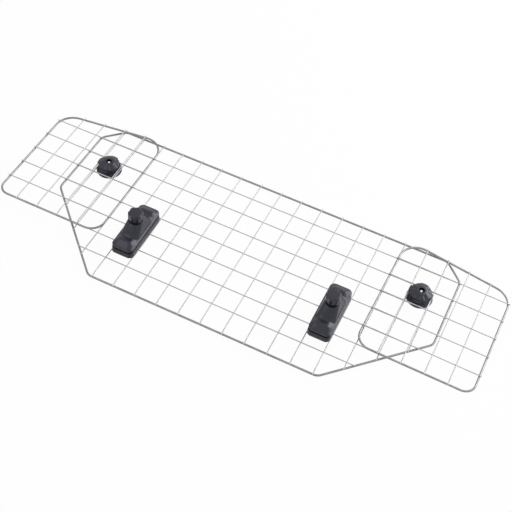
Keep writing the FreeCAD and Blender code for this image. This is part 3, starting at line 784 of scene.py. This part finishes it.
# The middle line: its height at some distances from the bolt, and how it is smoothed
LINE_AT = [0, 33.75, 47.75, 60.75, 64.75]
LINE_HEIGHT = [10.5, 10.5, 14.5, 7.5, 5.5]
LINE_END, LINE_STEP, LINE_WINDOW = 66, 0.25, 31
RIDGE_HALF, SIDE_SOFTNESS = 14.5, 6
# The bell: each layer reaches the neck's radius beyond a core, which shrinks with the height
NECK_RADIUS, CROWN, LAYERS, LAYER_BLUR = 16.3, 14.0, 81, 1.6
LAYER_AT, CORE_X, CORE_Y = [0, 0.3, 0.65, 1], [5.7, 4.0, 2.2, 0], [26.7, 18.2, 9.7, 0]


def ridge(x, y, half_width):
    """The middle line's height over the lip, times a share that falls to 0 at the sides.

    The line is straight between measured heights and then averaged over a window. The share is 1
    less a soft larger of 0 and the way from the ridge's edge to the side.
    """
    table = np.arange(0, LINE_END, LINE_STEP)
    line = np.pad(np.interp(table, LINE_AT, LINE_HEIGHT), LINE_WINDOW // 2, mode="edge")
    line = np.convolve(line, np.full(LINE_WINDOW, 1 / LINE_WINDOW), mode="valid")
    across = (np.abs(x) - RIDGE_HALF) / (half_width - RIDGE_HALF)
    fall = np.clip(1 - np.logaddexp(0, SIDE_SOFTNESS * across) / SIDE_SOFTNESS, 0, 1)
    return (np.interp(np.abs(y), table, line) - LIP) * fall


def bell(x, y, climb):
    """The climb times the share of layers that hold the point, each a core with a round rim."""
    layer = np.linspace(0, 1, LAYERS)
    beyond_x = np.maximum(np.abs(x)[..., None] - np.interp(layer, LAYER_AT, CORE_X), 0)
    beyond_y = np.maximum(np.abs(y)[..., None] - np.interp(layer, LAYER_AT, CORE_Y), 0)
    room = NECK_RADIUS - np.hypot(beyond_x, beyond_y)
    return climb * np.clip(0.5 + room / LAYER_BLUR, 0, 1).mean(axis=-1)


def relief(rings, width, height):
    """The higher of ridge and bell, blended where they meet: the fourth root of x^4 + y^4."""
    x, y = rings[..., 0], rings[..., 1]
    line, foot = ridge(x, y, width / 2), bell(x, y, height - LIP)
    rings[..., 2] = LIP + (line**4 + foot**4) ** 0.25
    return rings


def saddle_jaw(node, body):
    """Rings that widen from the crown to the outline, then the lip's wall and the underside."""
    width, length, height = size_of(node)
    walk = walk_round(arc_steps=14, run_steps=30)
    share = np.linspace(0, 1, 52)
    rim_width, rim_length = width - 2 * LIP_ROUND, length - 2 * LIP_ROUND
    wide = 2 * CROWN + (rim_width - 2 * CROWN) * share
    long = 2 * CROWN + (rim_length - 2 * CROWN) * share
    corner = CROWN + (JAW_CORNER - CROWN) * share
    top = relief(block_rings(wide, long, corner, 0, walk), width, height)
    crown = round_rings([(BOLT_HOLE, height)], walk)
    edge = block_rings(width, length, JAW_CORNER, [0, LIP_ROUND], walk)
    edge[0, :, 2] = top[-1, :, 2] - LIP_EDGE
    under = block_rings(
        [rim_width, 2 * BOLT_HOLE], [rim_length, 2 * BOLT_HOLE], [JAW_CORNER, BOLT_HOLE], 0, walk
    )
    rings = np.concatenate([crown, top, edge, under])
    skin(node, "moulding", rings, "black_plastic", body, sharp=50)


for side in SIDES:
    saddle_jaw(f"{side}_headrest_jaw", f"{side}_headrest_jaw")


# %% [markdown]
# ## Tall knobs
# Each jaw is screwed down by a tall knob, with six shallow scallops for the fingers. The scallops
# could be cut by six cylinders. Seen from above, such a cylinder is a circle that bites into the
# knob's own circle, so the radius at each angle is the nearer of the two edges, and the softer
# it is taken, the rounder the corners between scallop and lobe.

# %% Lobed grips
GRIP_RADIUS, COLLAR_RADIUS, COLLAR_HEIGHT, GRIP_ROOF = 16.3, 13.5, 3.0, 2.0
LOBES, SCALLOP_RADIUS, SCALLOP_OFFSET, LOBE_SHARPNESS = 6, 12.0, 26.6, 3
# Points nearer the axis, or well inside a scallop's edge, aren't moved
UNBITTEN_RADIUS, WELL_INSIDE, INSET_SHARE = 6.0, 1.5, 0.85
NUT_POCKET, NUT_POCKET_DEPTH = 5.1, 3.5


def scallop_edge(angle):
    """How far from the axis the nearest scallop's edge is, or far away between scallops.

    It is where a ray at this angle enters the scallop's circle: the offset's part along the ray
    less the root of the scallop's radius squared minus the offset's part across it squared.
    """
    off = from_nearest(angle, LOBES)
    inside = SCALLOP_RADIUS**2 - (SCALLOP_OFFSET * np.sin(off)) ** 2
    edge = SCALLOP_OFFSET * np.cos(off) - np.sqrt(np.maximum(inside, 0))
    return np.where(inside > 0, edge, GRIP_RADIUS + 3)


def scalloped(rings):
    """Each radius becomes the soft smaller of itself and the scallop's edge.

    Where the knob's top rounds inwards, the edge moves in by a share of the same amount.
    """
    radius, angle = np.hypot(rings[..., 0], rings[..., 1]), np.arctan2(rings[..., 1], rings[..., 0])
    inset = GRIP_RADIUS - np.minimum(radius, GRIP_RADIUS)
    edge = scallop_edge(angle) - INSET_SHARE * inset
    bitten = (radius > UNBITTEN_RADIUS) & (edge <= radius + WELL_INSIDE)
    reach = np.where(bitten, soft_smaller(radius, edge, LOBE_SHARPNESS), radius)
    return polar_rings(reach, angle, rings[..., 2])


def lobed_grip(node, body):
    """A turned knob on a collar, scalloped, with a pocket for the nut and a blind bore."""
    height = size_of(node)[2]
    section = [
        (NUT_POCKET, 0, 0.2),
        (COLLAR_RADIUS, 0, 0.5),
        (COLLAR_RADIUS, COLLAR_HEIGHT, 0.6),
        (GRIP_RADIUS, COLLAR_HEIGHT + 2, 1.2),
        (GRIP_RADIUS, height - 2, 1.5),
        (GRIP_RADIUS - 2.2, height, 1.5),
        (AXIS, height, 0),
    ]
    bore = [
        (AXIS, height - GRIP_ROOF),
        (BOLT_HOLE, height - GRIP_ROOF),
        (BOLT_HOLE, NUT_POCKET_DEPTH),
        (NUT_POCKET, NUT_POCKET_DEPTH),
    ]
    outside = scalloped(turned_rings(rounded(section, steps=7), 180))
    rings = np.concatenate([outside, turned_rings(bore, 180)])
    skin(node, "moulding", rings, "black_plastic", body)


for side in SIDES:
    lobed_grip(f"{side}_headrest_knob", f"{side}_headrest_knob")


# %% [markdown]
# ## Weld marks
# Where two wires cross, a welding machine has pressed one a little into the other, and soft
# metal has been squeezed out on both sides. Each mark is one small flattened ball at the height
# where the wires touch. Copies of one object would do, but there are hundreds, so the ball's
# points are added to every crossing at once and all marks of a mesh are one piece.

# %% Weld marks
CELL, MARK_RADIUS, MARK_HALF_HEIGHT = 50.0, 1.75, 0.8
MARK_RINGS, MARK_AROUND = 5, 8


def marks_at(name, crossings, body):
    """A flattened ball about each crossing: radius times the cosine, half height times the sine."""
    up = np.linspace(-np.pi / 2, np.pi / 2, MARK_RINGS)[:, None]
    across, rise = MARK_RADIUS * np.cos(up), MARK_HALF_HEIGHT * np.sin(up)
    ball = polar_rings(across, full_turn(MARK_AROUND), rise).reshape(-1, 3)
    points = (crossings[:, None] + ball).reshape(-1, 3) * MM
    first = len(ball) * np.arange(len(crossings))[:, None, None]
    faces = (ring_faces(MARK_RINGS, MARK_AROUND, closed=False) + first).reshape(-1, 4)
    close_up(name, points, faces, FINISHES["wire"], body, sharp=80)


def at_height(x, y, height):
    """A list of points from arrays of x and y, all at one height."""
    return np.column_stack([np.ravel(x), np.ravel(y), np.full(np.size(x), height)])


# %% [markdown]
# The crossings could be found by cutting every wire with every other. But a welding machine sets
# the wires at an even pitch, so columns times rows give them all. The main mesh loses those that
# lie outside the frame's cut corners, and a wing's grid is turned with its wing.

# %% Crossings of the main mesh
MAIN_CONTACT = 10.35
FRAME_MIDDLE, FRAME_HALF_LENGTH, FRAME_HALF_HEIGHT = -1.04, 441.1, 201.5
LOW_CHAMFER, TOP_CHAMFER = 181.5, 42.0
MESH_SHIFT, MESH_LIFT = 0.5, 4.1


def main_crossings():
    """The even grid of the main mesh, less the crossings that its cut corners leave out.

    Past the height where a corner's cut begins, the frame's half length shrinks by as much.
    """
    columns = CELL * np.arange(-8, 9) + FRAME_MIDDLE + MESH_SHIFT
    x, y = np.meshgrid(columns, CELL * np.arange(-3, 4) + MESH_LIFT)
    past_low, past_top = LOW_CHAMFER - FRAME_HALF_HEIGHT - y, y + TOP_CHAMFER - FRAME_HALF_HEIGHT
    shrunk = np.maximum(np.maximum(past_low, past_top), 0)
    kept = np.abs(x - FRAME_MIDDLE) < FRAME_HALF_LENGTH - shrunk
    return at_height(x[kept], y[kept], MAIN_CONTACT)


marks_at("main_weld_marks", main_crossings(), "main_panel")


# %% Crossings of the wings
WING_CONTACT = 18.95
WING_COLUMNS, WING_ROWS, WING_REACH, WING_DROP = 4, 5, 49.5, 30.8


def wing_crossings(side, outwards):
    """The wing's own even grid, turned about its clamp's axis with the wing."""
    middle = foot_of(f"{side}_wing_clamp_bolt") / MM
    along = np.array(slides[f"{side}_wing_slide"], float)
    along *= np.sign(along[0]) / np.linalg.norm(along)
    up = np.array((-along[1], along[0]))
    columns = WING_REACH + CELL * (np.arange(WING_COLUMNS) - (WING_COLUMNS - 1) / 2)
    rows = CELL * (np.arange(WING_ROWS) - (WING_ROWS - 1) / 2) - WING_DROP
    x, y = np.meshgrid(outwards * columns, rows)
    place = middle[:2] + x[..., None] * along[:2] + y[..., None] * up
    return at_height(place[..., 0], place[..., 1], WING_CONTACT)


for side, outwards in zip(SIDES, (-1, 1)):
    marks_at(f"{side}_wing_weld_marks", wing_crossings(side, outwards), f"{side}_wing")


# %% [markdown]
# ## Floor
# The photograph is a cut-out on pure white. More light would bleach the guard along with the
# floor, so the floor instead glows white to the rays that look at it, and stays matt paper to
# the rays that carry light. A small share of paper is left, which keeps a faint contact shadow.

# %% Floor
FLOOR_HALF, GLOW_SHARE = 8.0, 0.96


def pale_floor():
    """Matt paper, which glows white to camera, mirror and glass rays over 96% of its light."""
    paper = Finish(
        "white_floor", Base_Color=(0.92, 0.92, 0.92, 1), Roughness=1.0, Specular_IOR_Level=0.0
    )
    glow = paper.node("ShaderNodeEmission", inputs={"Color": (1, 1, 1, 1), "Strength": 1.0})
    matt = Term(paper, paper.shader.outputs["BSDF"])
    shares = {0: GLOW_SHARE * paper.looking(), 1: matt, 2: glow}
    both = paper.node("ShaderNodeMixShader", inputs=shares)
    paper.plug(paper.tree.nodes["Material Output"].inputs["Surface"], both)
    return paper.material


floor_mesh = bpy.data.meshes.new("floor")
floor_corners = FLOOR_HALF * np.array([(-1, -1, 0), (1, -1, 0), (1, 1, 0), (-1, 1, 0)])
floor_mesh.from_pydata(floor_corners.tolist(), [], [(0, 1, 2, 3)])
floor_mesh.materials.append(pale_floor())
floor = bpy.data.objects.new("floor", floor_mesh)
bpy.context.scene.collection.objects.link(floor)
floor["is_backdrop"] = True
print("floor", 2 * FLOOR_HALF, "m square")


# %% [markdown]
# ## Light
# One wide lamp from behind on the right gives the knobs and slopes their soft highlights, and a
# weak one in front on the left opens the shadows. A small lamp would draw bright dashes on thin
# round wires, so both are large. The world is white where it is looked at and dim as a light, so
# the zinc mirrors white, as it would on a white table.

# %% Lamps and world
WORLD_LIGHT = 0.38


def soft_lamp(name, place, size, power):
    """A round lamp of a size in metres, turned so that its Z axis points away from the origin."""
    lamp = bpy.data.lights.new(name, "AREA")
    lamp.shape, lamp.size, lamp.energy = "DISK", size, power
    holder = bpy.data.objects.new(name, lamp)
    turn = Vector(place).to_track_quat("Z", "Y").to_matrix().to_4x4()
    holder.matrix_world = Matrix.Translation(place) @ turn
    bpy.context.scene.collection.objects.link(holder)
    print(name, power, "W,", round(Vector(place).length, 2), "m away")


soft_lamp("key_lamp", (1.9, 2.1, 1.6), 3.0, 100)
soft_lamp("fill_lamp", (-1.6, -1.4, 2.6), 1.8, 16)

world = bpy.data.worlds.new("studio")
world.use_nodes = True
sky = Graph(world.node_tree)
background = world.node_tree.nodes["Background"]
sky.plug(background.inputs["Color"], (1, 1, 1, 1))
sky.plug(background.inputs["Strength"], WORLD_LIGHT + (1 - WORLD_LIGHT) * sky.looking())
bpy.context.scene.world = world
bpy.context.scene.view_settings.view_transform = "Standard"


# %% [markdown]
# ## Sizes
# Blender must not change the guard's dimensions, so the box of the finished pieces is written
# beside the box of the CAD model.

# %% Compare the sizes and finish
final_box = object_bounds()
for label, (low, high) in (("CAD", cad_box), ("visual", final_box)):
    print(label, "box, in mm:", [round((b - a) / MM, 1) for a, b in zip(low, high)])
